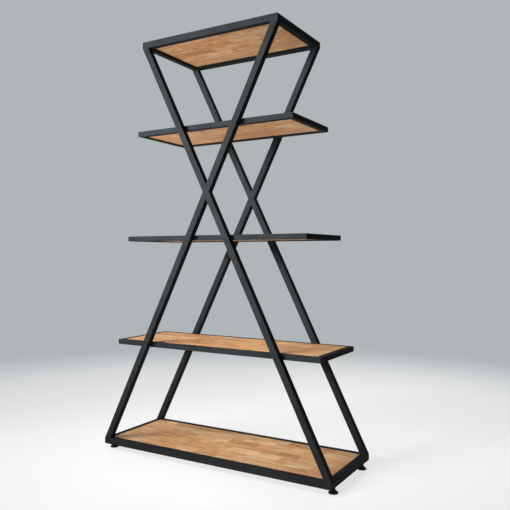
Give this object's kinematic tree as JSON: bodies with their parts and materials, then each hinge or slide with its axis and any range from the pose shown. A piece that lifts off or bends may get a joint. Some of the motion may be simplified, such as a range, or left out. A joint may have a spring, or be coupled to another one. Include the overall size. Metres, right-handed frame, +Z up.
{
  "type": "x-frame shelf",
  "caption": "Tall open shelf on crossed black steel legs, front and rear, with framed wood panels that narrow towards the top and screw feet that level it.",
  "frame": {"origin": "on the floor, under the middle of the shelf", "axes": "+Z up, +X to the right and +Y to the back, seen from the front"},
  "size_m": [1.009, 0.35, 1.623],
  "materials": {
    "powder_coat": "fine satin black powder coat on steel tube",
    "wood": "oiled hardwood staves, glued side by side",
    "zinc": "black zinc plate",
    "nylon": "moulded black nylon"
  },
  "bodies": {
    "frame": {"bottom_ledge_front": "powder_coat", "bottom_ledge_rear": "powder_coat", "bottom_panel": "wood", "bottom_rail_front": "powder_coat", "bottom_rail_left": "powder_coat", "bottom_rail_rear": "powder_coat", "bottom_rail_right": "powder_coat", "foot_insert_front_left": "zinc", "foot_insert_front_right": "zinc", "foot_insert_rear_left": "zinc", "foot_insert_rear_right": "zinc", "front_leg_lower_half": "powder_coat", "front_leg_upper_half": "powder_coat", "front_leg_whole": "powder_coat", "high_shelf_ledge_front": "powder_coat", "high_shelf_ledge_rear": "powder_coat", "high_shelf_panel": "wood", "high_shelf_rail_front": "powder_coat", "high_shelf_rail_left": "powder_coat", "high_shelf_rail_rear": "powder_coat", "high_shelf_rail_right": "powder_coat", "low_shelf_ledge_front": "powder_coat", "low_shelf_ledge_rear": "powder_coat", "low_shelf_panel": "wood", "low_shelf_rail_front": "powder_coat", "low_shelf_rail_left": "powder_coat", "low_shelf_rail_rear": "powder_coat", "low_shelf_rail_right": "powder_coat", "mid_shelf_ledge_front": "powder_coat", "mid_shelf_ledge_rear": "powder_coat", "mid_shelf_panel": "wood", "mid_shelf_rail_front": "powder_coat", "mid_shelf_rail_left": "powder_coat", "mid_shelf_rail_rear": "powder_coat", "mid_shelf_rail_right": "powder_coat", "rear_leg_lower_half": "powder_coat", "rear_leg_upper_half": "powder_coat", "rear_leg_whole": "powder_coat", "top_ledge_front": "powder_coat", "top_ledge_rear": "powder_coat", "top_panel": "wood", "top_rail_front": "powder_coat", "top_rail_left": "powder_coat", "top_rail_rear": "powder_coat", "top_rail_right": "powder_coat"},
    "foot_front_left": {"foot_pad_front_left": "nylon"},
    "stud_front_left": {"foot_nut_front_left": "zinc", "foot_stud_front_left": "zinc"},
    "foot_front_right": {"foot_pad_front_right": "nylon"},
    "stud_front_right": {"foot_nut_front_right": "zinc", "foot_stud_front_right": "zinc"},
    "foot_rear_left": {"foot_pad_rear_left": "nylon"},
    "stud_rear_left": {"foot_nut_rear_left": "zinc", "foot_stud_rear_left": "zinc"},
    "foot_rear_right": {"foot_pad_rear_right": "nylon"},
    "stud_rear_right": {"foot_nut_rear_right": "zinc", "foot_stud_rear_right": "zinc"}
  },
  "joints": [
    {"name": "foot_height_front_left", "type": "slide", "parent": "frame", "child": "foot_front_left", "axis": [0, 0, -1], "range_m": [0, 0.012]},
    {"name": "stud_turn_front_left", "type": "hinge", "parent": "foot_front_left", "child": "stud_front_left", "pos_m": [-0.4875, -0.1325, 0], "axis": [0, 0, -1], "range_deg": [0, 3460]},
    {"name": "foot_height_front_right", "type": "slide", "parent": "frame", "child": "foot_front_right", "axis": [0, 0, -1], "range_m": [0, 0.012]},
    {"name": "stud_turn_front_right", "type": "hinge", "parent": "foot_front_right", "child": "stud_front_right", "pos_m": [0.4875, -0.1325, 0], "axis": [0, 0, -1], "range_deg": [0, 3460]},
    {"name": "foot_height_rear_left", "type": "slide", "parent": "frame", "child": "foot_rear_left", "axis": [0, 0, -1], "range_m": [0, 0.012]},
    {"name": "stud_turn_rear_left", "type": "hinge", "parent": "foot_rear_left", "child": "stud_rear_left", "pos_m": [-0.4875, 0.1325, 0], "axis": [0, 0, -1], "range_deg": [0, 3460]},
    {"name": "foot_height_rear_right", "type": "slide", "parent": "frame", "child": "foot_rear_right", "axis": [0, 0, -1], "range_m": [0, 0.012]},
    {"name": "stud_turn_rear_right", "type": "hinge", "parent": "foot_rear_right", "child": "stud_rear_right", "pos_m": [0.4875, 0.1325, 0], "axis": [0, 0, -1], "range_deg": [0, 3460]}
  ],
  "couplings": [
    {"joint": "stud_turn_front_left", "follows": "foot_height_front_left", "rad_per_m": 5026.5},
    {"joint": "stud_turn_front_right", "follows": "foot_height_front_right", "rad_per_m": 5026.5},
    {"joint": "stud_turn_rear_left", "follows": "foot_height_rear_left", "rad_per_m": 5026.5},
    {"joint": "stud_turn_rear_right", "follows": "foot_height_rear_right", "rad_per_m": 5026.5}
  ]
}
